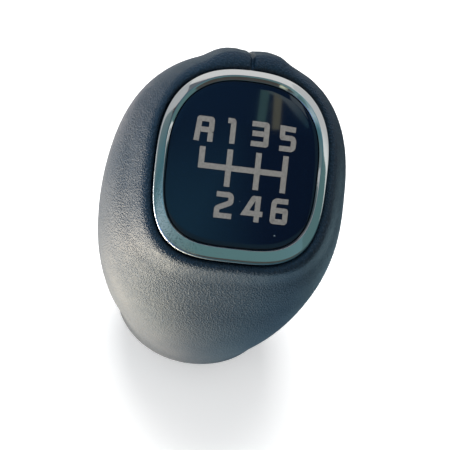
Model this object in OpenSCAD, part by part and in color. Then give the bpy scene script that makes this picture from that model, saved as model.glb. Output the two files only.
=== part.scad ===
// Gear shift knob with a leather cover, a chrome bezel and a domed shift-pattern plate.
// A two-part moulded core carries a threaded insert for the lever and a steel weight.
// Foam and leather go over the core, a screwed ring holds the lower hem,
// and a carrier under the plate holds the bezel and hides the upper hem.
// Origin at the centre of the base, +Z up the lever, the driver's side towards -Y.

/* [Stance] */
// Height of the plate's centre above the base
plate_z = 69.7; // [66:0.1:74]
// Distance of the plate's centre in front of the lever axis
plate_reach = 14.5; // [12:0.5:17]
// Lean of the plate towards the driver, in degrees
plate_tilt = 42; // [38:1:46]
// Pull of the lever axis on the cover's centre line, which keeps the neck upright
neck_pull = 64; // [58:1:70]
// Pull of the plate's axis on the cover's centre line
head_pull = 62; // [56:1:68]

/* [Cover shape] */
// Radius at the lowest edge of the cover
edge_r = 12.9; // [12.8:0.1:13.5]
// Radius just above the lower hem
hem_r = 17.8; // [17:0.1:19]
// Radius of the neck
neck_r = 19.5; // [18.5:0.1:21]
// Reach of the neck to the front
neck_front = 21; // [19.5:0.1:22]
// Radius where the neck opens into the head
waist_r = 23.7; // [22.5:0.1:25]
// Reach of the waist to the front
waist_front = 24.3; // [23.5:0.1:25.5]
// Radius of the belly
belly_r = 26.2; // [25.5:0.1:27.5]
// Half width of the shoulders
shoulder_half = 26.5; // [25.5:0.1:28]
// Reach of the shoulders to the front
shoulder_front = 26; // [25:0.1:27]
// Reach of the shoulders to the back
shoulder_back = 29; // [27:0.1:30]
// Half width of the cheeks beside the bezel
cheek_half = 24.5; // [24:0.1:25.5]
// Reach of the cheeks to the front
cheek_front = 25.3; // [25:0.1:26]
// Reach of the cheeks to the back
cheek_back = 25.4; // [25:0.1:27]
// Width of the rolled leather beside the bezel
roll_side = 1.5; // [1.4:0.05:1.8]
// Width of the rolled leather in front of the bezel
roll_front = 1.5; // [1.4:0.05:1.8]
// Width of the rolled leather behind the bezel
roll_back = 2.2; // [1.6:0.05:2.6]
// Height of the leather roll above the cover's rim
roll_h = 0.8; // [0.5:0.05:1]
// Depth of the cover's rim under the plate's centre
rim_drop = 2.5; // [2.2:0.1:2.9]

/* [Leather and foam] */
// Thickness of the leather
leather_t = 1.2; // [1:0.05:1.3]
// Thickness of the leather where its edge is pared down for turning in
pared_t = 0.85; // [0.7:0.05:0.95]
// Thickness of the foam
foam_t = 3; // [2:0.1:3.4]
// Thickness of the foam at its upper and lower edges
foam_edge_t = 0.5; // [0.4:0.05:0.7]
// Rise of the cover over the turned-back seam edges
seam_h = 1.4; // [1:0.1:1.6]
// Half width of the turned-back seam edges
seam_half = 8.2; // [7:0.1:9]
// Half width of the soft dip between the two edges
dip_half = 2.4; // [2:0.1:3]
// Share of the rise that the soft dip takes back; the narrow crease takes the rest
dip_share = 0.3; // [0.2:0.05:0.4]
// Half width of the narrow crease where the two edges meet
crease_half = 0.6; // [0.5:0.05:0.8]
// Share of the cover's centre line over which the rise fades in from the base
seam_fade = 0.2; // [0.15:0.01:0.3]
// Height that the turned-in leather ends above the core's seat
flap_clear = 0.3; // [0.2:0.05:0.6]
// Radius of the hole in the lower hem
hem_hole_r = 10.6; // [10.4:0.05:10.9]

/* [Bezel and plate] */
// Half width of the bezel
bezel_half = 17.9; // [17.4:0.1:18.4]
// Reach of the bezel behind the plate's centre
bezel_back = 19.2; // [18.8:0.1:19.6]
// Reach of the bezel in front of the plate's centre
bezel_front = 20.5; // [20.2:0.1:20.8]
// Squareness of the bezel's back, where 2 is an ellipse
back_power = 2.5; // [2.3:0.05:2.6]
// Squareness of the bezel's front, where 2 is an ellipse
front_power = 3.4; // [3.1:0.05:3.7]
// Width of the bezel's band at the sides
band_side = 2.3; // [2.1:0.05:2.5]
// Width of the bezel's band at the back
band_back = 2.5; // [2.3:0.05:2.7]
// Width of the bezel's band at the front
band_front = 3.2; // [2.8:0.05:3.4]
// Height of the bezel's crest above the plate
crest_h = 0.7; // [0.4:0.05:0.9]
// Place of the crest across the band at the sides, as a share of its width from outside
crest_share = 0.74; // [0.7:0.01:0.78]
// Shift of the crest inwards at the front and outwards at the back, as such a share
crest_shift = 0.15; // [0.1:0.01:0.18]
// Radius of the dome that the plate and the bezel follow
dome_r = 200; // [170:5:240]
// Thickness of the plate at its centre
plate_t = 2.4; // [2.1:0.1:2.6]
// Thickness of the adhesive pad
tape_t = 0.3; // [0.25:0.05:0.4]
// Thickness of the bezel's skirt
skirt_t = 1; // [0.9:0.05:1.1]
// Depth of the bezel's skirt under the plate's centre
skirt_depth = 5.5; // [5.2:0.1:5.8]
// Width of each snap hook on the bezel
hook_w = 5; // [4:0.5:6]
// Reach of each snap hook's nose
hook_nose = 0.6; // [0.4:0.05:0.7]

/* [Carrier] */
// Thickness of the carrier's deck
deck_t = 1.6; // [1.4:0.1:2]
// Thickness of the carrier's wall
carrier_wall = 1.4; // [1.2:0.1:1.6]
// Depth of the seat in the core that the carrier stands on
seat_depth = 9.5; // [9.3:0.1:10]
// Radius of the carrier's screw posts
post_r = 3.3; // [3.1:0.1:3.6]
// Distance of the carrier's screws from the middle, across
post_x = 8.5; // [8:0.1:9]
// Distance of the carrier's screws from the middle, front to back
post_y = 9.5; // [9:0.1:10]

/* [Core] */
// Thickness of the core's walls
core_wall = 2.2; // [2:0.1:2.5]
// Thickness of the core's ribs
rib_t = 1.8; // [1.5:0.1:2]
// Radius of the core's centre boss
boss_r = 11.5; // [11:0.1:12]
// Radius of the screw bosses that join the two halves
joint_boss_r = 3.3; // [3.1:0.1:3.5]
// Height of the lowest rib above the base
first_rib_z = 18; // [16:0.5:19]
// Distance from one rib to the next
rib_pitch = 11; // [9:0.5:12]
// Distance of the core screws' heads from the parting plane
joint_head_x = 6.5; // [5:0.5:7]
// Width of the seat ring under the carrier
seat_w = 3.4; // [3:0.1:3.8]
// Radius of the locating pins between the two halves
pin_r = 1.2; // [1:0.05:1.4]
// Length of the locating pins beyond the parting plane
pin_reach = 2; // [1.5:0.1:2.5]

/* [Lever insert and weight] */
// Radius of the insert's threaded bore before tapping
thread_bore_r = 4.25; // [4:0.05:4.5]
// Depth of the threaded bore
thread_depth = 24; // [20:0.5:25]
// Height of the insert's mouth above the base
insert_z = 12; // [11:0.5:13]
// Length of the insert
insert_len = 26; // [25.5:0.5:28]
// Size of the insert across its flats
insert_flats = 14; // [13:0.1:14.5]
// Radius of the insert's round waist
insert_waist_r = 6.3; // [5.9:0.1:6.4]
// Length of the insert's round waist
insert_waist_len = 6; // [5:0.5:7]
// Radius of the hole for the lever's shank
shank_hole_r = 5.4; // [5.2:0.05:5.6]
// Outer radius of the rubber bush
bush_r = 6.9; // [6.7:0.05:7.1]
// Height of the lip inside the bush that grips the lever
bush_lip = 0.2; // [0.1:0.05:0.3]
// Length of that lip
bush_lip_len = 1.5; // [1:0.1:2]
// Radius of the weight
weight_r = 9; // [8:0.1:9.5]
// Length of the weight
weight_len = 10; // [8:0.5:11]

/* [Base ring] */
// Outer radius of the base ring
ring_r = 12.3; // [12:0.05:12.4]
// Thickness of the base ring's flange
ring_t = 1.6; // [1.5:0.05:1.8]
// Radius of the circle that the base ring's screws stand on
ring_screw_circle = 8.9; // [8.8:0.05:9]
// Number of screws in the base ring
ring_screws = 3; // [3]

/* [Screws] */
// Radius of the thin screws' shanks
thin_shank_r = 0.95; // [0.85:0.05:1]
// Radius of the thin screws' heads
thin_head_r = 1.6; // [1.4:0.05:1.65]
// Length of the thin screws' shanks
thin_len = 7.5; // [6:0.5:8]
// Radius of the thick screws' shanks
thick_shank_r = 1.25; // [1.1:0.05:1.35]
// Radius of the thick screws' heads
thick_head_r = 2.2; // [2:0.05:2.3]
// Height of the screw heads
head_h = 1.2; // [1:0.05:1.3]
// Length of the carrier screws' shanks
carrier_screw_len = 13; // [11:0.5:14]
// Length of the core screws' shanks
core_screw_len = 14; // [12:0.5:15]

/* [Fits] */
// Clearance between pieces that are seated or glued on each other
seat_gap = 0.1; // [0.05:0.01:0.12]
// Clearance between the foam and the core that it is moulded over
foam_gap = 0.18; // [0.15:0.01:0.25]
// Clearance round screws and their heads
screw_gap = 0.15; // [0.1:0.01:0.2]

/* [Hidden] */
$fn = 48;

// Places along the cover's centre line, from 0 at the base to 1 at the rim
stations = [0, 0.07, 0.16, 0.3, 0.47, 0.65, 0.83, 1];
rim_half = bezel_half + roll_side;
rim_front = bezel_front + roll_front;
rim_back = bezel_back + roll_back;
half_reach = [edge_r, hem_r, neck_r, waist_r, belly_r, shoulder_half, cheek_half, rim_half];
front_reach = [edge_r, hem_r, neck_front, waist_front, belly_r,
    shoulder_front, cheek_front, rim_front];
back_reach = [edge_r, hem_r, neck_r, waist_r, belly_r, shoulder_back, cheek_back, rim_back];
last = len(stations) - 1;

// Heights at the base: the ring's flange, the hem above it and the core above that
edge_z = 0.7;
hem_z = ring_t + seat_gap;
core_z = hem_z + leather_t + seat_gap;
rim_y = rim_drop * sin(plate_tilt) - plate_reach;
rim_z = plate_z - rim_drop * cos(plate_tilt);

// Where the foam and the core start and end along the centre line
foam_start = 0.1;
foam_end = 0.93;
foam_fade = 0.14;
core_end = 0.905;
cavity_start = 0.12;
cavity_end = 0.86;
inner_rings = 12;
cover_rings = 24;
ring_crowding = 0.6;

// Directions round the cover: even steps, with closer ones across the seam at the back
seam_steps = [-18, -14, -10, -7, -4.5, -2.6, -1.2, 0, 1.2, 2.6, 4.5, 7, 10, 14, 18];
seam_span = 24;
even_steps = 52;
cover_angles = concat(
    [for (a = seam_steps) 90 + a],
    [for (i = [0:even_steps]) 90 + seam_span + i * (360 - 2 * seam_span) / even_steps]);
inner_angles = [for (i = [0:35]) i * 10];
outline_angles = [for (i = [0:71]) i * 5];

// Heights in the plate's frame, whose zero is the top of the plate's centre
deck_top = -plate_t - tape_t;
band_floor = deck_top + 0.05;
seat_top = -seat_depth;
seat_ring_t = 2.5;
flap_end = seat_top + flap_clear;
flap_back = seat_gap + pared_t;
socket = flap_back + seat_gap;
hook_depth = 2.7;
hook_floor = -skirt_depth - hook_depth;
hook_top = hook_floor + 1.5;
roll_start = 30;
roll_rings = 6;
fold_drop = 1;
rib_h = 9;

// The carrier's posts and the bosses in the core that take its screws
post_places = [for (x = [-1, 1], y = [-1, 1]) [x * post_x, y * post_y]];
head_seat = deck_top - 0.3 - head_h;
post_screw_end = head_seat - carrier_screw_len;
post_boss_end = post_screw_end - rib_t;

// Screws and pins across the parting plane, as places front to back and up
skin = leather_t + foam_t + core_wall;
low_joint_y = waist_r - skin - joint_boss_r;
front_joint_y = shoulder_front - skin - joint_boss_r;
back_joint_y = belly_r - skin - joint_boss_r - rib_t;
pin_boss_r = pin_r + rib_t;
pin_y = belly_r - skin - pin_boss_r - rib_t;

// Pockets inside the core's centre boss, from the bush up to the weight
pocket_gap = seat_gap / 2;
insert_top = insert_z + insert_len;
waist_z = insert_z + (insert_len - insert_waist_len) / 2;
bush_top = insert_z - seat_gap;
weight_z = insert_top + rib_t;
boss_top = weight_z + weight_len + rib_t;
joint_places = [
    [-low_joint_y, waist_z + insert_waist_len / 2],
    [low_joint_y, waist_z + insert_waist_len / 2],
    [-front_joint_y, insert_top + 2 * rib_t],
    [back_joint_y, boss_top - 2 * rib_t]];
pin_places = [[-pin_y, insert_top - 3 * rib_t], [pin_y, insert_top - rib_t]];
thin_screw_z = ring_t - head_h - 0.2;
first_ring_screw = 30;

// Helpers for curves
function smooth(t) = let (c = min(1, max(0, t))) c * c * (3 - 2 * c);
function hermite(p0, m0, p1, m1, t) =
    (2 * t * t * t - 3 * t * t + 1) * p0 + (t * t * t - 2 * t * t + t) * m0
    + (3 * t * t - 2 * t * t * t) * p1 + (t * t * t - t * t) * m1;
function slope(v, i) =
    (v[min(i + 1, last)] - v[max(i - 1, 0)])
    / (stations[min(i + 1, last)] - stations[max(i - 1, 0)]);
function segment(s, i = 0) = i >= last - 1 || s < stations[i + 1] ? i : segment(s, i + 1);
function along(v, s) =
    let (i = segment(s))
    let (h = stations[i + 1] - stations[i])
    let (t = (s - stations[i]) / h)
    hermite(v[i], h * slope(v, i), v[i + 1], h * slope(v, i + 1), t);

// The cover's centre line and the tilt of its rings
function spine_y(s) = hermite(0, 0, rim_y, -head_pull * sin(plate_tilt), s);
function spine_z(s) = hermite(edge_z, neck_pull, rim_z, head_pull * cos(plate_tilt), s);
function ring_tilt(s) = plate_tilt * smooth(s);

// Radius of a rounded outline in one direction; it may be squarer in front than behind
function egg(half, front, back, fp, bp, a) =
    let (p = sin(a) > 0 ? bp : fp)
    let (reach = sin(a) > 0 ? back : front)
    pow(pow(abs(cos(a)) / half, p) + pow(abs(sin(a)) / reach, p), -1 / p);

// The leather stands higher over its turned-back edges and dips where they meet
function seam_rise(u, s) =
    let (edges = exp(-pow(u / seam_half, 6)))
    let (dip = dip_share * exp(-pow(u / dip_half, 2)))
    let (crease = (1 - dip_share) * exp(-pow(u / crease_half, 2)))
    seam_h * smooth(s / seam_fade) * (edges - dip - crease);

// One point of the cover at a depth below its surface, and rings of such points
function cover_point(s, a, depth, seam) =
    let (fp = 2 + (front_power - 2) * s * s)
    let (bp = 2 + (back_power - 2) * s * s)
    let (r = egg(along(half_reach, s) - depth, along(front_reach, s) - depth,
        along(back_reach, s) - depth, fp, bp, a))
    let (u = r * cos(a))
    let (w = r * sin(a) + (seam && sin(a) > 0 ? seam_rise(u, s) : 0))
    [u, spine_y(s) + w * cos(ring_tilt(s)), spine_z(s) + w * sin(ring_tilt(s))];
function cover_ring(s, depth, angles, seam = false) =
    [for (a = angles) cover_point(s, a, depth, seam)];
function flat_ring(r, z, angles) = [for (a = angles) [r * cos(a), r * sin(a), z]];

// A ring parallel to the bezel's edge, at a distance outside it and a height over the plate
function from_plate(p) =
    [p[0],
    p[1] * cos(plate_tilt) - p[2] * sin(plate_tilt) - plate_reach,
    p[1] * sin(plate_tilt) + p[2] * cos(plate_tilt) + plate_z];
function bezel_r(a, side, front, back) =
    egg(bezel_half + side, bezel_front + front, bezel_back + back, front_power, back_power, a);
function bezel_ring(out, h, angles) =
    [for (a = angles)
        let (r = bezel_r(a, out, out, out))
        from_plate([r * cos(a), r * sin(a), h])];

// Foam thickness along the centre line, thin at both ends
function foam_at(s) =
    foam_edge_t + (foam_t - foam_edge_t)
    * smooth((s - foam_start) / foam_fade) * smooth((foam_end - s) / foam_fade);
foam_depth = leather_t + seat_gap;
function core_depth(s) = foam_depth + foam_at(s) + foam_gap;
function cavity_depth(s) = core_depth(s) + core_wall;
foam_stations = concat(
    [for (i = [0:inner_rings - 2]) foam_start + (foam_end - foam_start) * i / inner_rings],
    [core_end, foam_end]);

// Faces between rings of points: a closed tube, or a body with a cap at each end
function band_faces(n, lower, upper) =
    [for (j = [0:n - 1])
        let (k = (j + 1) % n)
        each [[lower + j, upper + j, upper + k], [lower + j, upper + k, lower + k]]];
function points_of(rings) = [for (r = rings) each r];
function tube_faces(rings) =
    let (n = len(rings[0]), m = len(rings))
    [for (i = [0:m - 1]) each band_faces(n, i * n, ((i + 1) % m) * n)];
function loft_faces(rings) =
    let (n = len(rings[0]), m = len(rings))
    concat([for (i = [0:m - 2]) each band_faces(n, i * n, (i + 1) * n)],
        [[for (j = [0:n - 1]) j]],
        [[for (j = [n - 1:-1:0]) (m - 1) * n + j]]);
module tube(rings) polyhedron(points_of(rings), tube_faces(rings), convexity = 6);
module loft(rings) polyhedron(points_of(rings), loft_faces(rings), convexity = 6);

// The plate's frame, flat faces in it and a screw that points down it
module at_plate() translate([0, -plate_reach, plate_z]) rotate([plate_tilt, 0, 0]) children();
module outline(side, front, back)
    polygon([for (a = outline_angles) bezel_r(a, side, front, back) * [cos(a), sin(a)]]);
module slab(out, low, high)
    translate([0, 0, low]) linear_extrude(high - low) outline(out, out, out);
module screw(shank_r, head_r, length) {
    difference() {
        union() {
            cylinder(r = head_r, h = head_h);
            translate([0, 0, -length]) cylinder(r = shank_r, h = length);
        }
        translate([0, 0, head_h / 2]) cylinder(r = head_r / 2, h = head_h, $fn = 6);
    }
}

module at_ring_screws()
    for (i = [0:ring_screws - 1]) rotate([0, 0, first_ring_screw + i * 360 / ring_screws])
        translate([ring_screw_circle, 0, 0]) children();

// Leather: hem under the ring, outer face, roll beside the bezel, turned-in flap, inner face
module leather_cover() {
    hem_lower = [
        flat_ring(hem_hole_r, hem_z, cover_angles),
        flat_ring(edge_r - 0.35, hem_z, cover_angles)];
    outer = [for (i = [0:cover_rings])
        let (t = i / cover_rings)
        let (s = t - ring_crowding * sin(360 * t) / (2 * PI))
        cover_ring(s, 0, cover_angles, true)];
    rim = cover_ring(1, 0, cover_angles, true);
    inside = bezel_ring(seat_gap, -rim_drop, cover_angles);
    up = [0, -sin(plate_tilt), cos(plate_tilt)];
    roll = [for (i = [1:roll_rings])
        let (a = roll_start + (180 - roll_start) * i / roll_rings)
        let (across = (cos(roll_start) - cos(a)) / (cos(roll_start) + 1))
        let (rise = roll_h * (sin(a) - sin(roll_start)) / (1 - sin(roll_start)))
        [for (j = [0:len(rim) - 1]) rim[j] + across * (inside[j] - rim[j]) + rise * up]];
    flap = [
        bezel_ring(seat_gap, flap_end, cover_angles),
        bezel_ring(flap_back, flap_end, cover_angles),
        bezel_ring(flap_back, -rim_drop - 2 * fold_drop, cover_angles),
        bezel_ring(flap_back + 0.1, -rim_drop - fold_drop, cover_angles)];
    inner = concat([cover_ring(0.955, leather_t, cover_angles)],
        [for (i = [inner_rings:-1:0]) cover_ring(foam_stations[i], leather_t, cover_angles)],
        [cover_ring(0.055, leather_t, cover_angles)]);
    hem_upper = [
        flat_ring(edge_r + 0.6, hem_z + leather_t, cover_angles),
        flat_ring(hem_hole_r, hem_z + leather_t, cover_angles)];
    color("#14181d") tube(concat(hem_lower, outer, roll, flap, inner, hem_upper));
}

// Foam skin between the leather and the core
module foam_layer() {
    outer = [for (s = foam_stations) cover_ring(s, foam_depth, inner_angles)];
    inner = [for (i = [inner_rings:-1:0])
        let (s = foam_stations[i])
        cover_ring(s, foam_depth + foam_at(s), inner_angles)];
    color("#d8d2bd") tube(concat(outer, inner));
}

// Outer form of the two core halves together, with the socket for the carrier and the flap
module core_form() {
    rings = concat([flat_ring(edge_r + 0.4, core_z, inner_angles)],
        [for (i = [0:inner_rings - 1])
            let (s = foam_stations[i])
            cover_ring(s, core_depth(s), inner_angles)]);
    difference() {
        loft(rings);
        at_plate() slab(socket, seat_top, 0);
    }
}

// Everything that stands inside the core: boss, ribs and screw bosses
module core_inside() {
    cylinder(r = boss_r, h = boss_top);
    for (i = [0:2]) translate([-belly_r, -2 * belly_r, first_rib_z + i * rib_pitch])
        cube([2 * belly_r, 4 * belly_r, rib_t]);
    for (p = joint_places) translate([-belly_r, p[0], p[1]])
        rotate([0, 90, 0]) cylinder(r = joint_boss_r, h = 2 * belly_r);
    for (p = pin_places) translate([-belly_r, p[0], p[1]])
        rotate([0, 90, 0]) cylinder(r = pin_boss_r, h = 2 * belly_r);
    at_plate() {
        for (y = [-1, 1]) translate([-belly_r, y * post_y - rib_t / 2, post_boss_end])
            cube([2 * belly_r, rib_t, seat_top - seat_ring_t - post_boss_end]);
        translate([-belly_r, -2 * belly_r, seat_top - seat_ring_t])
            cube([2 * belly_r, 4 * belly_r, belly_r]);
    }
    post_bosses();
}
module post_bosses() {
    at_plate() for (p = post_places) translate([p[0], p[1], post_boss_end])
        cylinder(r = post_r, h = seat_top - post_boss_end);
}

// Holes down the lever axis: bush, insert with its waist, and weight
module lever_pockets() {
    flats_r = insert_flats / 2 / cos(30) + pocket_gap;
    translate([0, 0, core_z - 1]) cylinder(r = bush_r + pocket_gap, h = insert_z - core_z + 1);
    difference() {
        translate([0, 0, insert_z - pocket_gap])
            cylinder(r = flats_r, h = insert_len + 2 * pocket_gap, $fn = 6);
        translate([0, 0, waist_z + pocket_gap]) difference() {
            cylinder(r = flats_r + 1, h = insert_waist_len - 2 * pocket_gap);
            cylinder(r = insert_waist_r + pocket_gap, h = insert_waist_len);
        }
    }
    translate([0, 0, weight_z]) cylinder(r = weight_r + pocket_gap, h = weight_len + 2 * pocket_gap);
}

// One half of the core; side is -1 for the left and 1 for the right
module core_half(side) {
    difference() {
        intersection() {
            core_form();
            translate([side > 0 ? 0 : -2 * belly_r, -2 * belly_r, 0])
                cube([2 * belly_r, 4 * belly_r, 2 * plate_z]);
        }
        difference() {
            loft([for (i = [0:inner_rings])
                let (s = cavity_start + (cavity_end - cavity_start) * i / inner_rings)
                cover_ring(s, cavity_depth(s), inner_angles)]);
            core_inside();
        }
        difference() {
            at_plate() slab(socket - seat_w, seat_top - seat_ring_t - 1, seat_top + 1);
            post_bosses();
        }
        lever_pockets();
        at_plate() for (p = post_places) translate([p[0], p[1], post_screw_end - 0.5])
            cylinder(r = thick_shank_r, h = carrier_screw_len);
        at_ring_screws() cylinder(r = thin_shank_r, h = thin_screw_z + head_h + thin_len + 0.5);
        for (p = joint_places) translate([0, p[0], p[1]]) rotate([0, 90, 0]) {
            translate([0, 0, joint_head_x - core_screw_len - 0.5])
                cylinder(r = thick_shank_r + (side > 0 ? screw_gap : 0), h = core_screw_len + 1);
            if (side > 0) translate([0, 0, joint_head_x])
                cylinder(r = thick_head_r + screw_gap, h = belly_r);
        }
        if (side > 0) for (p = pin_places) translate([-1, p[0], p[1]]) rotate([0, 90, 0])
            cylinder(r = pin_r + pocket_gap, h = 1 + pin_reach + screw_gap);
    }
}
module core_left() {
    color("#3b3f45") {
        core_half(-1);
        for (p = pin_places) translate([-1, p[0], p[1]]) rotate([0, 90, 0])
            cylinder(r = pin_r, h = 1 + pin_reach);
    }
}
module core_right() color("#4b5057") core_half(1);
module core_screws()
    color("#b9bcc0") for (p = joint_places) translate([joint_head_x, p[0], p[1]])
        rotate([0, 90, 0]) screw(thick_shank_r, thick_head_r, core_screw_len);

// Insert with a hexagon at each end, a round waist between them and a blind bore for the lever
module lever_insert() {
    hex_len = (insert_len - insert_waist_len) / 2;
    color("#b58a3c") difference() {
        union() {
            for (z = [insert_z, insert_z + hex_len + insert_waist_len]) translate([0, 0, z])
                cylinder(r = insert_flats / 2 / cos(30), h = hex_len, $fn = 6);
            translate([0, 0, waist_z]) cylinder(r = insert_waist_r, h = insert_waist_len);
        }
        translate([0, 0, insert_z - 1]) cylinder(r = thread_bore_r, h = thread_depth + 1);
        translate([0, 0, insert_z - pocket_gap])
            cylinder(r1 = thread_bore_r + 1, r2 = thread_bore_r, h = 1);
    }
}

// Rubber bush that steadies the lever's shank below the insert
module lever_bush()
    color("#1c1c1e") rotate_extrude() polygon([
        [shank_hole_r, hem_z + leather_t + seat_gap + pocket_gap],
        [bush_r, core_z + pocket_gap],
        [bush_r, bush_top],
        [shank_hole_r - bush_lip, bush_top],
        [shank_hole_r - bush_lip, bush_top - bush_lip_len],
        [shank_hole_r, bush_top - bush_lip_len - 2 * bush_lip]]);

module weight()
    color("#8d9196") translate([0, 0, weight_z + pocket_gap]) rotate_extrude() polygon([
        [0, 0], [weight_r - 0.6, 0], [weight_r, 0.6], [weight_r, weight_len - 0.6],
        [weight_r - 0.6, weight_len], [0, weight_len]]);

// Ring that closes the base and clamps the hem of the leather
module base_ring() {
    boss = hem_hole_r - 0.3;
    color("#202226") difference() {
        rotate_extrude() polygon([
            [shank_hole_r + 0.5, 0], [ring_r - 0.5, 0], [ring_r, 0.5], [ring_r, ring_t],
            [boss, ring_t], [boss, core_z - pocket_gap], [shank_hole_r, core_z - pocket_gap],
            [shank_hole_r, 0.5]]);
        at_ring_screws() {
            translate([0, 0, -1]) cylinder(r = thin_head_r + screw_gap, h = 1 + thin_screw_z + head_h);
            cylinder(r = thin_shank_r + screw_gap, h = core_z + 1);
        }
    }
}
module base_screws()
    color("#b9bcc0") at_ring_screws() translate([0, 0, thin_screw_z + head_h]) mirror([0, 0, 1])
        screw(thin_shank_r, thin_head_r, thin_len);

// Carrier: a deck with a wall round it, screw posts and windows for the bezel's hooks
module plate_carrier() {
    out = -skirt_t - seat_gap;
    color("#2a2d31") at_plate() difference() {
        union() {
            slab(out, deck_top - deck_t, deck_top);
            difference() {
                slab(out, seat_top, deck_top - deck_t / 2);
                slab(out - carrier_wall, seat_top - 1, deck_top - deck_t);
            }
            for (p = post_places) translate([p[0], p[1], seat_top])
                cylinder(r = post_r, h = deck_top - deck_t / 2 - seat_top);
        }
        for (p = post_places) translate([p[0], p[1], 0]) {
            translate([0, 0, head_seat]) cylinder(r = thick_head_r + screw_gap, h = seat_depth);
            translate([0, 0, seat_top - 1]) cylinder(r = thick_shank_r + screw_gap, h = seat_depth);
        }
        hooks(screw_gap, carrier_wall + 1);
    }
}
module carrier_screws()
    color("#b9bcc0") at_plate() for (p = post_places) translate([p[0], p[1], head_seat])
        screw(thick_shank_r, thick_head_r, carrier_screw_len);

// The noses of the four snap hooks, or the windows that they catch in
module hooks(gap, reach) {
    for (a = [0, 90, 180, 270])
        let (r = bezel_r(a, -skirt_t, -skirt_t, -skirt_t))
        rotate([0, 0, a]) translate([r - reach, -hook_w / 2 - gap, hook_floor - gap])
            cube([reach + 0.2, hook_w + 2 * gap, hook_top - hook_floor + 2 * gap]);
}

// Bezel: a convex band with a skirt inside the leather and four snap hooks
module bezel() {
    // Slopes of the band up to its crest and down again, as shares of the way and of the crest
    outer_slope = [[0, -1.1], [0.04, -0.5], [0.11, -0.08], [0.3, 0.2], [0.65, 0.63], [1, 1]];
    inner_slope = [[0.15, 0.92], [0.5, 0.55], [1, 0.07]];
    function across(a, outer, inner) =
        let (crest = crest_share - crest_shift * sin(a))
        crest * outer + (1 - crest) * inner;
    function crown_ring(outer, inner, h) =
        [for (a = outline_angles)
            let (p = across(a, outer, inner))
            let (r = bezel_r(a, -p * band_side, -p * band_front, -p * band_back))
            from_plate([r * cos(a), r * sin(a), crest_h * h - r * r / (2 * dome_r)])];
    crown = concat([for (p = outer_slope) crown_ring(p[0], 0, p[1])],
        [for (p = inner_slope) crown_ring(1, p[0], p[1])]);
    floor_in = [for (a = outline_angles)
        let (r = bezel_r(a, -band_side, -band_front, -band_back))
        from_plate([r * cos(a), r * sin(a), band_floor])];
    rings = concat([bezel_ring(0, -skirt_depth, outline_angles)], crown, [floor_in],
        [bezel_ring(-skirt_t, band_floor, outline_angles)],
        [bezel_ring(-skirt_t, -skirt_depth, outline_angles)]);
    color("#c9ced3") {
        tube(rings);
        at_plate() for (a = [0, 90, 180, 270])
            let (r = bezel_r(a, -skirt_t, -skirt_t, -skirt_t))
            rotate([0, 0, a]) {
                translate([r, -hook_w / 2, hook_floor])
                    cube([skirt_t - 0.05, hook_w, hook_depth + 0.5]);
                translate([r - hook_nose, -hook_w / 2, hook_floor])
                    cube([hook_nose + 0.2, hook_w, hook_top - hook_floor]);
            }
    }
}

// Adhesive pad with holes over the screw heads
module plate_tape()
    color("#6f7276") at_plate() difference() {
        translate([0, 0, deck_top]) linear_extrude(tape_t)
            outline(-band_side - 1, -band_front - 1, -band_back - 1);
        for (p = post_places) translate([p[0], p[1], deck_top - tape_t])
            cylinder(r = thick_head_r + 2 * screw_gap, h = 3 * tape_t);
    }

// Pattern plate: flat underneath, domed on top
module pattern_plate()
    color("#0b0c10") at_plate() intersection() {
        translate([0, 0, -plate_t]) linear_extrude(plate_t + 1)
            outline(-band_side - seat_gap, -band_front - seat_gap, -band_back - seat_gap);
        translate([0, 0, -dome_r]) sphere(r = dome_r, $fn = 200);
    }

leather_cover();
foam_layer();
core_left();
core_right();
core_screws();
lever_insert();
lever_bush();
weight();
base_ring();
base_screws();
plate_carrier();
carrier_screws();
bezel();
plate_tape();
pattern_plate();
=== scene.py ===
# %% [markdown]
# A leather gear shift knob, dressed for its portrait.
# The solids of the knob come ready made, in metres, with the origin at the centre of the base
# and +Z up the lever. This lesson gives the visible ones their true surfaces: stretched leather
# with a sewn back seam, a chromed bezel, a gloss plate with a printed shift pattern, and the
# small metal and plastic parts that show underneath. The knob's sizes are in millimetres until
# the last moment, because that is how a knob is drawn, and are turned into metres once.

# %% Load the solids and keep their box
from math import cos, exp, pi, radians, sin, tan

import bmesh
import bpy
from mathutils import Matrix, Vector, noise


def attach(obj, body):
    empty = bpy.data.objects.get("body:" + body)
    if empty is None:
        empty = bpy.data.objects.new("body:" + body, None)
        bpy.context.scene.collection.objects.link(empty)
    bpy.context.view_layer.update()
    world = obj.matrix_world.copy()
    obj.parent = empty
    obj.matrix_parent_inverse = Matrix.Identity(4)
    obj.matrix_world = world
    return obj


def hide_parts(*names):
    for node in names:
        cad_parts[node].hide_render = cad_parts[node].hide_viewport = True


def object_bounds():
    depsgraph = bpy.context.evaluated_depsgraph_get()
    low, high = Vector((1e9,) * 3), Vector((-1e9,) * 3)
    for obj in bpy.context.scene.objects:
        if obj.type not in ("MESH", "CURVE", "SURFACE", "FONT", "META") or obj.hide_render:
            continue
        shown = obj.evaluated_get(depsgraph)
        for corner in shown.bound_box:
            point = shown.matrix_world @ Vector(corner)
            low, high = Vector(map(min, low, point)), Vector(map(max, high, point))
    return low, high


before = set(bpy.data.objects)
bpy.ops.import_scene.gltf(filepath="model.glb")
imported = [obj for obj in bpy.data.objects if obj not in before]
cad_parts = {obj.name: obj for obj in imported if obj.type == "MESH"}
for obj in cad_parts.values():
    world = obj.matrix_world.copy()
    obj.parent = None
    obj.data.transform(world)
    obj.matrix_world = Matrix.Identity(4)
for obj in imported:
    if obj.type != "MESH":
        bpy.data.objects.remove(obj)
CAD_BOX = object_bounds()
MM = 0.001
print("solids loaded:", len(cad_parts), "nodes")

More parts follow.
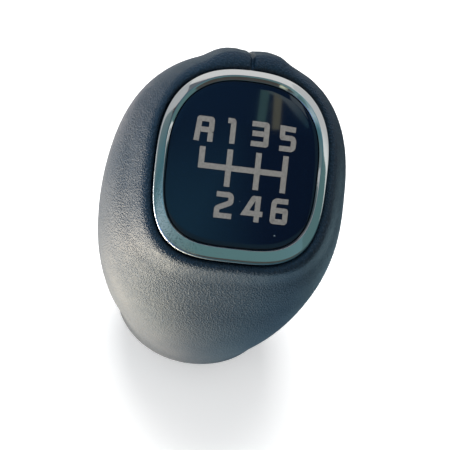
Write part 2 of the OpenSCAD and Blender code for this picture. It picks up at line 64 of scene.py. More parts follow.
# %% [markdown]
# The cover's shape comes first, because leather, bezel and plate all follow it.
# A designer draws such a grip as a few sections strung on a curved centre line: round at the
# base, widest at the shoulders, and squarer towards the plate, which leans to the driver.
# It could be sculpted by eye, but then nothing else would fit it. Here the curve and the
# sections are blended by formulas, so any point of the leather can be asked for by how far
# along the grip it is (0 to 1) and in which direction round it.

# %% Driving sizes of the grip
PLATE_Z = 69.7  # the plate's middle above the base
PLATE_REACH = 14.5  # and in front of the lever's axis
PLATE_TILT = radians(42)
NECK_PULL = 64  # how firmly the centre line leaves the base
HEAD_PULL = 62  # and how firmly it meets the plate
RIM_DROP = 2.5  # the leather's rim lies this far below the plate
EDGE_Z = 0.7  # start of the cover's outer face

EDGE_R = 12.9
HEM_R = 17.8
NECK = {"half": 19.5, "front": 21.0, "back": 19.5}
WAIST = {"half": 23.7, "front": 23.9, "back": 23.7}
BELLY = {"half": 26.2, "front": 25.6, "back": 26.2}
SHOULDER = {"half": 26.5, "front": 26.2, "back": 29.0}
CHEEK = {"half": 24.5, "front": 25.3, "back": 25.4}

BEZEL = {"half": 17.9, "front": 20.5, "back": 19.2}
BAND = {"half": 2.3, "front": 3.2, "back": 2.5}
ROLL = {"half": 1.5, "front": 1.5, "back": 2.2}
FRONT_POWER = 3.4  # how square the bezel is: 2 is an ellipse
BACK_POWER = 2.5
DOME_R = 200

SIDES = ("half", "front", "back")
STATIONS = [0, 0.07, 0.16, 0.3, 0.47, 0.65, 0.83, 1]
REACH = {
    side: [EDGE_R, HEM_R, NECK[side], WAIST[side], BELLY[side], SHOULDER[side], CHEEK[side],
           BEZEL[side] + ROLL[side]]
    for side in SIDES
}
RIM_Y = RIM_DROP * sin(PLATE_TILT) - PLATE_REACH
RIM_Z = PLATE_Z - RIM_DROP * cos(PLATE_TILT)
print("the grip is", 2 * max(REACH["half"]), "mm wide at its shoulders")

# %% [markdown]
# Sizes are known at eight stations only. Straight lines between them would leave creases in
# the leather, so each size runs on a cubic curve that passes every station with an even slope.
# A section is an ellipse in which the power of 2 may rise, and that squares its corners the way
# the bezel's corners are squared.


# %% Curves through the stations
def smooth(t):
    """0 to 1 with soft ends."""
    t = min(1, max(0, t))
    return t * t * (3 - 2 * t)


def ramp(value, start, end):
    """0 at the start and 1 at the end, with soft ends."""
    return smooth((value - start) / (end - start))


def between(low, high, t):
    return low + (high - low) * t


def hermite(p0, m0, p1, m1, t):
    """A cubic from p0 to p1 that leaves along m0 and arrives along m1."""
    return ((2 * t**3 - 3 * t**2 + 1) * p0 + (t**3 - 2 * t**2 + t) * m0
            + (3 * t**2 - 2 * t**3) * p1 + (t**3 - t**2) * m1)


def along(values, s):
    """Value at a place s along the grip, on a smooth curve through the stations."""
    last = len(STATIONS) - 1
    i = max(k for k in range(last) if k == 0 or s >= STATIONS[k])

    def slope(k):
        low, high = max(k - 1, 0), min(k + 1, last)
        return (values[high] - values[low]) / (STATIONS[high] - STATIONS[low])

    span = STATIONS[i + 1] - STATIONS[i]
    t = (s - STATIONS[i]) / span
    return hermite(values[i], span * slope(i), values[i + 1], span * slope(i + 1), t)


def egg(half, front, back, front_power, back_power, a):
    """Radius in direction a of an outline that may be squarer in front than behind."""
    power = back_power if sin(a) > 0 else front_power
    reach = back if sin(a) > 0 else front
    return ((abs(cos(a)) / half)**power + (abs(sin(a)) / reach)**power)**(-1 / power)


def bezel_r(a, inset=0.0, share=0.0):
    """Radius of the bezel, moved in by a length and by a share of the band's width."""
    half, front, back = (BEZEL[side] - share * BAND[side] - inset for side in SIDES)
    return egg(half, front, back, FRONT_POWER, BACK_POWER, a)


print("bezel radius at the side, front and corner:",
      [round(bezel_r(radians(a)), 2) for a in (0, 270, 315)])

# %% [markdown]
# Along the back the panel's two edges are turned back and sewn together. They lift the leather
# into a low, broad ridge with a dip in its middle, and a narrow crease where the edges meet.
# Separate strips could be laid there, but on the real knob it is one skin, so the ridge is a
# rise that is added to the cover's own formula.

# %% The seam's ridge
SEAM_H = 1.4
SEAM_HALF = 8.2
DIP_HALF = 2.4
DIP_SHARE = 0.3
CREASE_HALF = 0.42
CREASE_SHARE = 0.7
SEAM_START = 0.2


def crease(across):
    return exp(-(across / CREASE_HALF)**2)


def seam_rise(across, s):
    """The turned-back edges lift the leather, and it dips to the stitches between them."""
    edges = exp(-(across / SEAM_HALF)**6)
    dip = DIP_SHARE * exp(-(across / DIP_HALF)**2)
    return SEAM_H * ramp(s, 0, SEAM_START) * (edges - dip - CREASE_SHARE * crease(across))


print("the ridge is", round(seam_rise(DIP_HALF * 2, 1), 2), "mm high")


# %% Points on the cover and on the plate
def cover_point(s, a, depth=0.0, seam=True):
    """A point of the cover, in millimetres, a given depth under its surface."""
    half, front, back = (along(REACH[side], s) - depth for side in SIDES)
    r = egg(half, front, back,
            2 + (FRONT_POWER - 2) * s * s, 2 + (BACK_POWER - 2) * s * s, a)
    across = r * cos(a)
    out = r * sin(a)
    if seam and sin(a) > 0:
        out += seam_rise(across, s)
    spine_y = hermite(0, 0, RIM_Y, -HEAD_PULL * sin(PLATE_TILT), s)
    spine_z = hermite(EDGE_Z, NECK_PULL, RIM_Z, HEAD_PULL * cos(PLATE_TILT), s)
    tilt = PLATE_TILT * smooth(s)
    return Vector((across, spine_y + out * cos(tilt), spine_z + out * sin(tilt)))


def from_plate(x, y, h):
    """A point given on the plate: x across, y up the plate, h above its centre."""
    return Vector((x, y * cos(PLATE_TILT) - h * sin(PLATE_TILT) - PLATE_REACH,
                   y * sin(PLATE_TILT) + h * cos(PLATE_TILT) + PLATE_Z))


def round_plate(r, a, h):
    """A point given on the plate by its distance from the middle and its direction."""
    return from_plate(r * cos(a), r * sin(a), h)


def dome(x, y=0.0):
    """How far the domed plate has fallen away at a point."""
    return -(x * x + y * y) / (2 * DOME_R)


print("top of the seam at", [round(v, 1) for v in cover_point(1, pi / 2)])

# %% [markdown]
# Most of the visible pieces are skins that close on themselves in both directions, like the
# tube of a tyre. A flat grid makes all of them: it is rolled up by asking a formula where each
# of its corners goes, and the corners that then meet are merged. The grid operator keeps the
# faces even and in order, which a hand-written list of faces would have to do by itself.

# %% A grid rolled into a closed skin
MERGE = 0.002


def new_object(name, bm, material):
    mesh = bpy.data.meshes.new(name)
    bm.to_mesh(mesh)
    bm.free()
    mesh.materials.append(material)
    thing = bpy.data.objects.new(name, mesh)
    bpy.context.scene.collection.objects.link(thing)
    return thing


def finish_mesh(name, bm, material, smooth_shade=True):
    """Turns a bmesh into an object that rides on the knob, with its place in its mesh."""
    piece = new_object(name, bm, material)
    if smooth_shade:
        piece.data.shade_smooth()
    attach(piece, "root")
    print(name, "has", len(piece.data.polygons), "faces")
    return piece


def rolled_grid(columns, rows, place):
    """A grid whose corners go where place(column share, row number) says, in millimetres."""
    bm = bmesh.new()
    bmesh.ops.create_grid(bm, x_segments=columns, y_segments=rows, size=1)
    for v in bm.verts:
        column = (v.co.x + 1) / 2
        row = round((v.co.y + 1) / 2 * rows)
        v.co = place(column, row) * MM
    bmesh.ops.remove_doubles(bm, verts=bm.verts, dist=MERGE * MM)
    bmesh.ops.recalc_face_normals(bm, faces=bm.faces)
    return bm


print("corners closer than", MERGE, "mm are merged")

# %% [markdown]
# Materials are built from a few shared effects, each a node group with named sockets.
# Leather needs a grain of small rounded cells, chrome and plastic need fine marks, and
# everything that has been handled carries a little dust. A group puts out masks and heights
# only, and each material decides what to do with them. Nodes could be placed one by one in
# each material, but then a change of grain or dust would have to be made many times.


# %% Helpers for nodes
def add(tree, kind, values=None, **settings):
    """A node with its settings, and its inputs given by name or number."""
    node = tree.nodes.new(kind)
    for label, value in settings.items():
        setattr(node, label, value)
    for socket, value in (values or {}).items():
        if isinstance(value, bpy.types.NodeSocket):
            tree.links.new(value, node.inputs[socket])
        else:
            node.inputs[socket].default_value = value
    return node


def feed(tree, node, **sockets):
    """Links into a node by its inputs' names, with _ for a space."""
    for label, socket in sockets.items():
        tree.links.new(socket, node.inputs[label.replace("_", " ")])


def calc(tree, operation, a, b=0.0):
    return add(tree, "ShaderNodeMath", {0: a, 1: b}, operation=operation).outputs[0]


def vector_calc(tree, operation, a, b):
    return add(tree, "ShaderNodeVectorMath", {0: a, 1: b}, operation=operation).outputs[0]


def distance(tree, a, b=(0, 0, 0)):
    node = add(tree, "ShaderNodeVectorMath", {0: a, 1: b}, operation="DISTANCE")
    return node.outputs["Value"]


def remap(tree, value, low, high, to_low=0.0, to_high=1.0):
    """A value moved from one range to another, with soft ends."""
    node = add(tree, "ShaderNodeMapRange", {"Value": value, "From Min": low, "From Max": high,
                                            "To Min": to_low, "To Max": to_high},
               interpolation_type="SMOOTHSTEP")
    return node.outputs["Result"]


def clouds(tree, where, scale, detail, roughness=0.5):
    """Soft noise between 0 and 1, with about this many clumps to a metre."""
    return add(tree, "ShaderNodeTexNoise", {"Vector": where, "Scale": scale, "Detail": detail,
                                            "Roughness": roughness}).outputs["Fac"]


def new_group(name, numbers, outputs):
    """An empty group that takes a place and some numbers, and puts out masks or heights."""
    group = bpy.data.node_groups.new(name, "ShaderNodeTree")
    group.interface.new_socket("Vector", in_out="INPUT", socket_type="NodeSocketVector")
    for label, value in numbers.items():
        socket = group.interface.new_socket(label, in_out="INPUT", socket_type="NodeSocketFloat")
        socket.default_value = value
    for label in outputs:
        group.interface.new_socket(label, in_out="OUTPUT", socket_type="NodeSocketFloat")
    print("node group:", name)
    return group, group.nodes.new("NodeGroupInput"), group.nodes.new("NodeGroupOutput")


# %% Leather grain: rounded cells with creases between them
BEND = 0.0012


def grain_group():
    group, start, end = new_group("Leather grain", {"Cells per metre": 1000},
                                  ["Height", "Crease", "Cloud"])
    where = start.outputs["Vector"]
    warp = add(group, "ShaderNodeTexNoise", {"Vector": where, "Scale": 350.0, "Detail": 2.0})
    push = vector_calc(group, "SUBTRACT", warp.outputs["Color"], (0.5, 0.5, 0.5))
    bent = vector_calc(group, "ADD", where, vector_calc(group, "MULTIPLY", push, (BEND,) * 3))
    cells = add(group, "ShaderNodeTexVoronoi",
                {"Vector": bent, "Scale": start.outputs["Cells per metre"], "Smoothness": 0.25},
                feature="SMOOTH_F1").outputs["Distance"]
    pebble = remap(group, cells, 0.1, 0.75, 1.0, 0.0)
    fine = calc(group, "MULTIPLY", clouds(group, where, 4200.0, 3.0), 0.35)
    feed(group, end, Height=calc(group, "ADD", pebble, fine),
         Crease=remap(group, cells, 0.45, 0.7), Cloud=clouds(group, where, 90.0, 4.0, 0.6))
    return group


GRAIN = grain_group()


# %% Dust: sparse specks of uneven size
def dust_group():
    group, start, end = new_group("Dust", {"Specks per metre": 400, "Amount": 0.1}, ["Mask"])
    cells = add(group, "ShaderNodeTexVoronoi",
                {"Vector": start.outputs["Vector"], "Scale": start.outputs["Specks per metre"]})
    chance = add(group, "ShaderNodeSeparateColor", {"Color": cells.outputs["Color"]})
    chosen = calc(group, "LESS_THAN", chance.outputs["Red"], start.outputs["Amount"])
    size = remap(group, chance.outputs["Green"], 0.0, 1.0, 0.03, 0.12)
    near = calc(group, "LESS_THAN", cells.outputs["Distance"], size)
    feed(group, end, Mask=calc(group, "MULTIPLY", chosen, near))
    return group


DUST = dust_group()


# %% Handling marks: faint smears and hairlines
def marks_group():
    group, start, end = new_group("Handling marks", {"Marks per metre": 150},
                                  ["Smear", "Hairline"])
    where = start.outputs["Vector"]
    rate = start.outputs["Marks per metre"]
    stretched = add(group, "ShaderNodeMapping", {"Vector": where, "Rotation": (0.3, 0.5, 0.8),
                                                 "Scale": (1.0, 14.0, 1.0)}).outputs[0]
    feed(group, end, Smear=clouds(group, where, rate, 5.0, 0.65),
         Hairline=remap(group, clouds(group, stretched, rate, 2.0), 0.66, 0.7))
    return group


MARKS = marks_group()

# %% [markdown]
# Every material here starts the same way: a Principled shader reading Object coordinates.
# They stay with the surface when it turns, where window coordinates would slide over it.
# Values that are the same all over a surface are typed on the shader itself. Only what varies,
# such as grain, smears and dust, comes through nodes.


# %% A material to start from
def object_place(tree):
    return add(tree, "ShaderNodeTexCoord").outputs["Object"]


def along_axis(tree, place, axis):
    return add(tree, "ShaderNodeSeparateXYZ", {0: place}).outputs[axis]


def new_material(name, **values):
    """A material, its tree, its shader with some values typed in, and the place it reads."""
    material = bpy.data.materials.new(name)
    material.use_nodes = True
    tree = material.node_tree
    shader = tree.nodes["Principled BSDF"]
    for label, value in values.items():
        shader.inputs[label.replace("_", " ")].default_value = value
    print("material:", name)
    return material, tree, shader, object_place(tree)


def use_group(tree, group, place, **numbers):
    """A group placed in a material. Gives what the group puts out."""
    values = {label.replace("_", " "): value for label, value in numbers.items()}
    return add(tree, "ShaderNodeGroup", {"Vector": place, **values}, node_tree=group).outputs


MIX_FACTOR, MIX_A, MIX_B, MIX_RESULT = 0, 6, 7, 2  # the Mix node's colour sockets


def mix_colour(tree, share, a, b):
    """From colour a to colour b. Each is a socket or three numbers."""
    a, b = [(*c, 1) if isinstance(c, tuple) else c for c in (a, b)]
    node = add(tree, "ShaderNodeMix", {MIX_FACTOR: share, MIX_A: a, MIX_B: b}, data_type="RGBA")
    return node.outputs[MIX_RESULT]


def bump(tree, height, distance_mm):
    node = add(tree, "ShaderNodeBump", {"Height": height, "Distance": distance_mm * MM,
                                        "Strength": 1.0})
    return node.outputs["Normal"]


# %% [markdown]
# The leather is nearly black with a blue cast and a low, broad sheen. Its grain is fine:
# cells of about half a millimetre, with specks of dust, and its creases are painted darker as
# shade. The sheen is what shows the form, so the roughness changes slowly over the surface where
# hands have polished it.
# Towards the base the leather is stretched more, and its grain lies flatter. A picture of real
# leather could be wrapped on, but it would smear at the rolled edges. Cells that are worked out
# in space fit any fold.

# %% Leather
LEATHER_TONES = (0.0025, 0.0155, 0.034), (0.0045, 0.02, 0.041)
# Painted shade: the grain's creases are darkened towards this tone
CREASE_SHADE_TONE = (0.001, 0.008, 0.018)
DUST_TONE = (0.35, 0.34, 0.32)
GRAIN_H = 0.11
STRETCHED_TO = 10  # below this height the grain is at its flattest, in millimetres
RELAXED_FROM = 55  # and above this one it stands at its full height


def leather_material():
    material, tree, shader, place = new_material("black leather", Specular_IOR_Level=0.5)
    grain = use_group(tree, GRAIN, place, Cells_per_metre=2450.0)
    dust = use_group(tree, DUST, place, Specks_per_metre=420.0, Amount=0.02)
    base = mix_colour(tree, remap(tree, grain["Cloud"], 0.35, 0.65), *LEATHER_TONES)
    # the creases between the grain's cells are darkened here as painted shade
    crease_shaded = mix_colour(tree, calc(tree, "MULTIPLY", grain["Crease"], 0.5), base, CREASE_SHADE_TONE)
    dusty = mix_colour(tree, calc(tree, "MULTIPLY", dust["Mask"], 0.2), crease_shaded, DUST_TONE)
    relief = remap(tree, along_axis(tree, place, "Z"), STRETCHED_TO * MM, RELAXED_FROM * MM,
                   0.45, 1.0)
    feed(tree, shader, Base_Color=dusty,
         Roughness=remap(tree, grain["Cloud"], 0.3, 0.7, 0.48, 0.58),
         Normal=bump(tree, calc(tree, "MULTIPLY", grain["Height"], relief), GRAIN_H))
    return material


LEATHER = leather_material()

# %% [markdown]
# Leather over foam is never perfectly even. Slow swells show where the foam gives, the
# stitches pull small dimples into both sides of the seam, and the leather gathers a little
# where it turns in. These are real shapes, so they go into the mesh: each point of the outer
# face moves out or in by less than a fifth of a millimetre.

# %% Small unevenness of stretched leather
SWELL = 0.06
STITCHES = 23
STITCH_PULL = 0.14
STITCH_OUT = 2.3  # the dimples' distance from the seam
STITCH_SPREAD = 1.5
GATHERS = 46
GATHER = 0.05


def unevenness(s, a):
    """How far the outer face stands out from its plain shape, in millimetres."""
    where = Vector((1.5 * cos(a), 1.5 * sin(a), 4.0 * s))
    swell = SWELL * noise.noise(where)
    pull = 0
    if sin(a) > 0:
        from_seam = abs(along(REACH["half"], s) * cos(a))
        beside = exp(-((from_seam - STITCH_OUT) / STITCH_SPREAD)**2)
        pull = STITCH_PULL * beside * (0.5 - 0.5 * cos(2 * pi * s * STITCHES))
    gather = GATHER * sin(GATHERS * a + 2 * sin(3 * a)) * ramp(s, 0.86, 0.96)
    return (swell - pull + gather) * ramp(s, 0, 0.1) * ramp(s, 1, 0.95)


print("unevenness in the middle of the left side:", round(unevenness(0.5, pi), 3), "mm")

# %% [markdown]
# The cover is one panel of leather wrapped round the foam and sewn down its back. Its edges
# are turned in twice: under the base ring below, and down beside the bezel above. Cloth
# simulation is the usual way to drape leather, but this one is pulled tight over a moulded
# form, so its section is known. The grid is rolled the same way as the panel, with its two side
# edges meeting at the seam. Its rows walk round the leather's own section: hem, outer face,
# roll beside the bezel, flap, and back along the inside, so that the skin has a true thickness.

# %% Sizes of the leather's section
HEM_HOLE_R = 10.6
HEM_Z = 1.7
LIP_R = EDGE_R - 0.35
FOOT_R = EDGE_R + 0.6
LEATHER_T = 1.2
PARED_T = 0.85
RIM_BULGE = 0.55
ROLL_FROM = 0.985
ROLL_SWEEP = 4.2
ROLL_NOTCH = 0.9
FLAP_END = -9.2
SEAT_GAP = 0.1
FOLD_DROP = 1.0
INNER_TOP = 0.955
INNER_FOOT = 0.055
COLUMNS = 300
COLUMN_CROWDING = 0.8
ROW_CROWDING = 0.35


def crowd(t, amount):
    """A share from 0 to 1, drawn towards the ends so that more of them lie there."""
    return t - amount * sin(2 * pi * t) / (2 * pi)


def hem_circle(r, z, a):
    return Vector((r * cos(a), r * sin(a), z))


def bezel_edge(out, h, a):
    return round_plate(bezel_r(a, -out), a, h)


print("the leather is", LEATHER_T, "mm thick, and", PARED_T, "mm where it is pared to fold")


# %% The outer face, and its roll beside the bezel
def outer_point(s, a):
    """The outer face. Beside the bezel it stands a little fuller, except over the seam."""
    bulge = RIM_BULGE * ramp(s, 0.88, 0.98) * ramp(sin(a), 0.7, 0)
    return cover_point(s, a, -bulge - unevenness(s, a))


def roll_point(t, a):
    """The leather turns over in a soft arch and comes down beside the bezel."""
    outside = outer_point(ROLL_FROM, a)
    up_face = (outside - outer_point(ROLL_FROM - 0.01, a)).normalized()
    inside = bezel_edge(SEAT_GAP, -RIM_DROP, a)
    inward = (inside - bezel_edge(1, -RIM_DROP, a)).normalized()
    down = Vector((0, sin(PLATE_TILT), -cos(PLATE_TILT)))
    arch = hermite(outside, ROLL_SWEEP * up_face, inside,
                   ROLL_SWEEP * (0.5 * inward + 0.87 * down), t)
    if sin(a) > 0:
        arch += ROLL_NOTCH * crease(arch.x) * sin(pi * t) * down
    return arch


print("the roll starts at", [round(v, 1) for v in outer_point(ROLL_FROM, 0)])

# %% The walk round the section, one stretch after another
STRETCHES = [
    (4, lambda t, a: hem_circle(between(HEM_HOLE_R, LIP_R, t), HEM_Z, a)),
    (2, lambda t, a: hem_circle(LIP_R, HEM_Z, a).lerp(cover_point(0, a), t)),
    (150, lambda t, a: outer_point(ROLL_FROM * crowd(t, ROW_CROWDING), a)),
    (24, roll_point),
    (6, lambda t, a: bezel_edge(SEAT_GAP, between(-RIM_DROP, FLAP_END, t), a)),
    (1, lambda t, a: bezel_edge(SEAT_GAP + PARED_T * t, FLAP_END, a)),
    (6, lambda t, a: bezel_edge(SEAT_GAP + PARED_T,
                                between(FLAP_END, -RIM_DROP - FOLD_DROP, t), a)),
    (24, lambda t, a: cover_point(between(INNER_TOP, INNER_FOOT, t), a, LEATHER_T, seam=False)),
    (3, lambda t, a: cover_point(INNER_FOOT, a, LEATHER_T, seam=False).lerp(
        hem_circle(FOOT_R, HEM_Z + LEATHER_T, a), t)),
    (3, lambda t, a: hem_circle(between(FOOT_R, HEM_HOLE_R, t), HEM_Z + LEATHER_T, a)),
    (1, lambda t, a: hem_circle(HEM_HOLE_R, HEM_Z + LEATHER_T * (1 - t), a)),
]
WALK = [(k, i / rows) for k, (rows, _) in enumerate(STRETCHES) for i in range(rows)]
WALK.append((len(STRETCHES) - 1, 1.0))


def cover_place(column, row):
    a = pi / 2 + 2 * pi * crowd(column, COLUMN_CROWDING)
    stretch, t = WALK[row]
    return STRETCHES[stretch][1](t, a)


cover = finish_mesh("leather_wrap", rolled_grid(COLUMNS, len(WALK) - 1, cover_place), LEATHER)
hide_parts("leather_cover")

# %% [markdown]
# Chrome has no colour of its own: it shows the room. Its plating is bright but not perfect,
# with faint smears and hairlines that only change the roughness. One corner is worn by use,
# and there it is pitted and a little dull. A plain mirror material would look like computer
# chrome, because it is these small faults that tell the eye how big the piece is.

# %% Chrome
CHROME_TONE = (0.84, 0.87, 0.88)
WORN_TONE = (0.3, 0.36, 0.38)
WORN_CORNER = (-15.2, -12.5, 0)
WORN_CORE = 4
WORN_EDGE = 13
WORN_DEPTH = 14.0
PIT_H = 0.006


def chrome_material():
    material, tree, shader, place = new_material("bright chrome", Metallic=1.0)
    marks = use_group(tree, MARKS, place, Marks_per_metre=260.0)
    pits = clouds(tree, place, 3500.0, 2.0)
    patch = clouds(tree, place, 70.0, 2.0)
    away = distance(tree, place, from_plate(*WORN_CORNER) * MM)
    worn = calc(tree, "MULTIPLY", remap(tree, away, WORN_CORE * MM, WORN_EDGE * MM, 1.0, 0.0),
                remap(tree, patch, 0.35, 0.6, 0.5, 1.0))
    depth = calc(tree, "ADD", remap(tree, patch, 0.45, 0.6, 0.1, 1.0),
                 calc(tree, "MULTIPLY", worn, WORN_DEPTH))
    dull = calc(tree, "MULTIPLY", worn, remap(tree, pits, 0.5, 0.66))
    rough = calc(tree, "ADD", remap(tree, marks["Smear"], 0.35, 0.75, 0.04, 0.13),
                 calc(tree, "MULTIPLY", marks["Hairline"], 0.1))
    feed(tree, shader, Base_Color=mix_colour(tree, dull, CHROME_TONE, WORN_TONE),
         Roughness=rough, Normal=bump(tree, calc(tree, "MULTIPLY", pits, depth), PIT_H))
    return material


CHROME = chrome_material()

# %% [markdown]
# The bezel is a moulded ring, plated all over. Its section does the work of the chrome: a
# roof-like band with a soft crest, so that one slope shows the floor and the other the sky. A
# curve with a bevel profile could sweep it, but the band is wider in front than at the sides.
# So each direction gets its own section, and a subdivision modifier rounds it as polishing does.

# %% Bezel: outer wall, crown, inner wall, and the skirt's hollow underside
CREST_H = 0.7
CREST_SHARE = 0.745  # the crest's place across the band, at the sides
CREST_SHIFT = 0.15  # it runs nearer the plate in front, and nearer the middle behind
SKIRT_T = 1.0
SKIRT_DEPTH = 5.5
BAND_FLOOR = -2.65
BEZEL_COLUMNS = 144
OUTER_SLOPE = [(0, -1.1), (0.03, -0.55), (0.11, -0.08), (0.3, 0.2), (0.65, 0.63),
               (0.92, 0.93), (1, 1)]
INNER_SLOPE = [(0.12, 0.93), (0.5, 0.55), (0.85, 0.2), (1, 0.07)]


def bezel_section(a):
    """The section's corners as (radius, height), from the skirt's foot over the crown."""
    crest = CREST_SHARE - CREST_SHIFT * sin(a)
    crown = [(t * crest, h) for t, h in OUTER_SLOPE]
    crown += [(crest + t * (1 - crest), h) for t, h in INNER_SLOPE]
    section = [(bezel_r(a), -SKIRT_DEPTH)]
    for share, h in crown:
        r = bezel_r(a, share=share)
        section.append((r, CREST_H * h + dome(r)))
    inside = bezel_r(a, SKIRT_T)
    return section + [(bezel_r(a, share=1), BAND_FLOOR), (inside, BAND_FLOOR),
                      (inside, -SKIRT_DEPTH)]


def bezel_place(column, row):
    a = 2 * pi * column
    section = bezel_section(a)
    r, h = section[row % len(section)]
    return round_plate(r, a, h)


bezel_rows = len(bezel_section(0))
bezel = finish_mesh("chrome_bezel", rolled_grid(BEZEL_COLUMNS, bezel_rows, bezel_place), CHROME)
rounding = bezel.modifiers.new("rounding", "SUBSURF")
rounding.levels = 2
rounding.render_levels = 2
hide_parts("bezel")

# %% [markdown]
# Four snap hooks under the skirt catch in windows of the carrier. They are moulded with the
# bezel and could be extruded from it, but the modifier that rounds the band would melt their
# edges. So they are blocks of their own that reach a little into the skirt.

# %% Snap hooks
HOOK_W = 5.0
HOOK_T = 0.95
HOOK_FLOOR = -8.2
HOOK_NOSE = 0.6
HOOK_TOP = -6.7
HOOK_ROOT = 0.5
NOSE_ROOT = 0.2


def add_block(bm, low, high, turn):
    """A block given by two corners on the plate, turned about the plate's middle."""
    made = bmesh.ops.create_cube(bm, size=1)["verts"]
    for v in made:
        p = Vector(low) + (v.co + Vector((0.5, 0.5, 0.5))) * (Vector(high) - Vector(low))
        p = Matrix.Rotation(turn, 3, "Z") @ p
        v.co = from_plate(p.x, p.y, p.z) * MM


def make_hooks():
    """Each hook is a tongue with a nose that points inwards."""
    bm = bmesh.new()
    for turn in (0, pi / 2, pi, 3 * pi / 2):
        r = bezel_r(turn, SKIRT_T)
        add_block(bm, (r, -HOOK_W / 2, HOOK_FLOOR),
                  (r + HOOK_T, HOOK_W / 2, -SKIRT_DEPTH + HOOK_ROOT), turn)
        add_block(bm, (r - HOOK_NOSE, -HOOK_W / 2, HOOK_FLOOR),
                  (r + NOSE_ROOT, HOOK_W / 2, HOOK_TOP), turn)
    return finish_mesh("bezel_hooks", bm, CHROME, smooth_shade=False)


hooks = make_hooks()
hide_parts("bezel")

# %% [markdown]
# The plate is moulded in gloss black. Under a bright room it looks navy, because it shows the
# sky. Pure black with a perfect gloss would look like a hole, so it gets a few specks of dust,
# faint smears, and a thin clear coat over them.

# %% Gloss plate material
GLOSS_TONE = (0.001, 0.0045, 0.0145)
SPECK_TONE = (0.2, 0.27, 0.3)


def gloss_material():
    material, tree, shader, place = new_material(
        "gloss black", Coat_Weight=0.4, Coat_Roughness=0.03)
    marks = use_group(tree, MARKS, place, Marks_per_metre=90.0)
    dust = use_group(tree, DUST, place, Specks_per_metre=500.0, Amount=0.08)
    base = mix_colour(tree, calc(tree, "MULTIPLY", dust["Mask"], 0.6), GLOSS_TONE, SPECK_TONE)
    rough = calc(tree, "ADD", remap(tree, marks["Smear"], 0.4, 0.8, 0.05, 0.12),
                 calc(tree, "MULTIPLY", dust["Mask"], 0.4))
    feed(tree, shader, Base_Color=base, Roughness=rough)
    return material


GLOSS = gloss_material()

# %% [markdown]
# A slice of a sphere could be cut to the bezel's outline, but its faces would end raggedly
# there. Rings that grow from the middle to the outline, down the side and back underneath
# follow the edge exactly, and leave room for a fine rounding of it.

# %% Plate: rings from its middle to its edge, down the side and back underneath
PLATE_T = 2.4
PLATE_GAP = 0.1
EDGE_ROUND = 0.12
PLATE_COLUMNS = 144
PLATE_RINGS = 16
# Each row: its share of the radius, then its inset and its drop in shares of the rounding
PLATE_ROWS = [(i / PLATE_RINGS, 1, 0) for i in range(PLATE_RINGS + 1)] + [
    (1, 0.3, 0.3), (1, 0, 1), (1, 0, None), (0.5, 0, None), (0, 0, None)]


def plate_place(column, row):
    a = 2 * pi * column
    share, inset, drop = PLATE_ROWS[row]
    r = share * bezel_r(a, PLATE_GAP + inset * EDGE_ROUND, share=1)
    h = -PLATE_T if drop is None else dome(r) - drop * EDGE_ROUND
    return round_plate(r, a, h)


plate = finish_mesh("gloss_plate", rolled_grid(PLATE_COLUMNS, len(PLATE_ROWS) - 1, plate_place),
                    GLOSS)
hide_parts("pattern_plate")

# %% [markdown]
# The shift pattern is printed in warm silver with squared, round-cornered strokes of one
# width. A font would give other corners and uneven widths. So each stroke is drawn like a pen
# line: a short edge as wide as the pen is extruded from point to point, and leans into the
# corners so that its width stays true. The strokes lie on the dome with the thickness of a
# layer of ink.

# %% Silver print material
SILVER_TONES = (0.2, 0.19, 0.18), (0.25, 0.24, 0.225)


def print_material():
    material, tree, shader, place = new_material("silver print", Metallic=0.25, Roughness=0.42)
    speckle = remap(tree, clouds(tree, place, 2600.0, 2.0), 0.35, 0.65)
    feed(tree, shader, Base_Color=mix_colour(tree, speckle, *SILVER_TONES))
    return material


SILVER = print_material()

# %% The pen
PEN_W = 1.08
GATE_W = 1.17
PEN_STEP = 0.8
INK_H = 0.04
INK_SUNK = 0.005
CORNER_STEPS = 6


def round_corner(before, corner, after, radius):
    """An arc that takes the place of one corner."""
    to_before = (before - corner).normalized()
    to_after = (after - corner).normalized()
    half = to_before.angle(to_after) / 2
    reach = radius / tan(half)
    centre = corner + (to_before + to_after).normalized() * radius / sin(half)
    start = corner + to_before * reach - centre
    end = corner + to_after * reach - centre
    arms = [start.lerp(end, i / CORNER_STEPS).normalized() for i in range(CORNER_STEPS + 1)]
    return [centre + arm * radius for arm in arms]


def pen_line(points):
    """Pen positions of a stroke. A third number beside a point rounds its corner."""
    corners = [Vector(p[:2]) for p in points]
    line = [corners[0]]
    for i in range(1, len(points) - 1):
        radius = points[i][2] if len(points[i]) > 2 else 0
        around = corners[i - 1], corners[i], corners[i + 1]
        line += round_corner(*around, radius) if radius else [corners[i]]
    line.append(corners[-1])
    close = [line[0]]
    for a, b in zip(line, line[1:]):
        n = max(1, round((b - a).length / PEN_STEP))
        close += [a.lerp(b, i / n) for i in range(1, n + 1)]
    return close


def pen_stroke(bm, points, width):
    """A flat stroke: an edge as wide as the pen, drawn along its line."""
    line = pen_line(points)
    ahead = [(b - a).normalized() for a, b in zip(line, line[1:])]
    edge = None
    for i, p in enumerate(line):
        before, after = ahead[max(i - 1, 0)], ahead[min(i, len(ahead) - 1)]
        lean = (before + after).normalized()
        side = Vector((-lean.y, lean.x)) * width / 2 / lean.dot(after)
        if edge is None:
            left, right = [bm.verts.new((q.x, q.y, 0)) for q in (p + side, p - side)]
            edge = bm.edges.new((left, right))
            continue
        made = bmesh.ops.extrude_edge_only(bm, edges=[edge])["geom"]
        fresh = [v for v in made if isinstance(v, bmesh.types.BMVert)]
        left, right = sorted(fresh, key=lambda v: (v.co - left.co).length)
        left.co, right.co = (p + side).to_3d(), (p - side).to_3d()
        edge = bm.edges.get((left, right))


print("the pen is", PEN_W, "mm wide for numerals and", GATE_W, "mm for the gates")

# %% [markdown]
# A glyph is a list of strokes in a box whose lower left corner is at (0, 0). The numerals are
# plain technical ones with squared shoulders. A third number beside a point is the radius at
# which the pen rounds that corner. Where one stroke meets another it stops at its side.

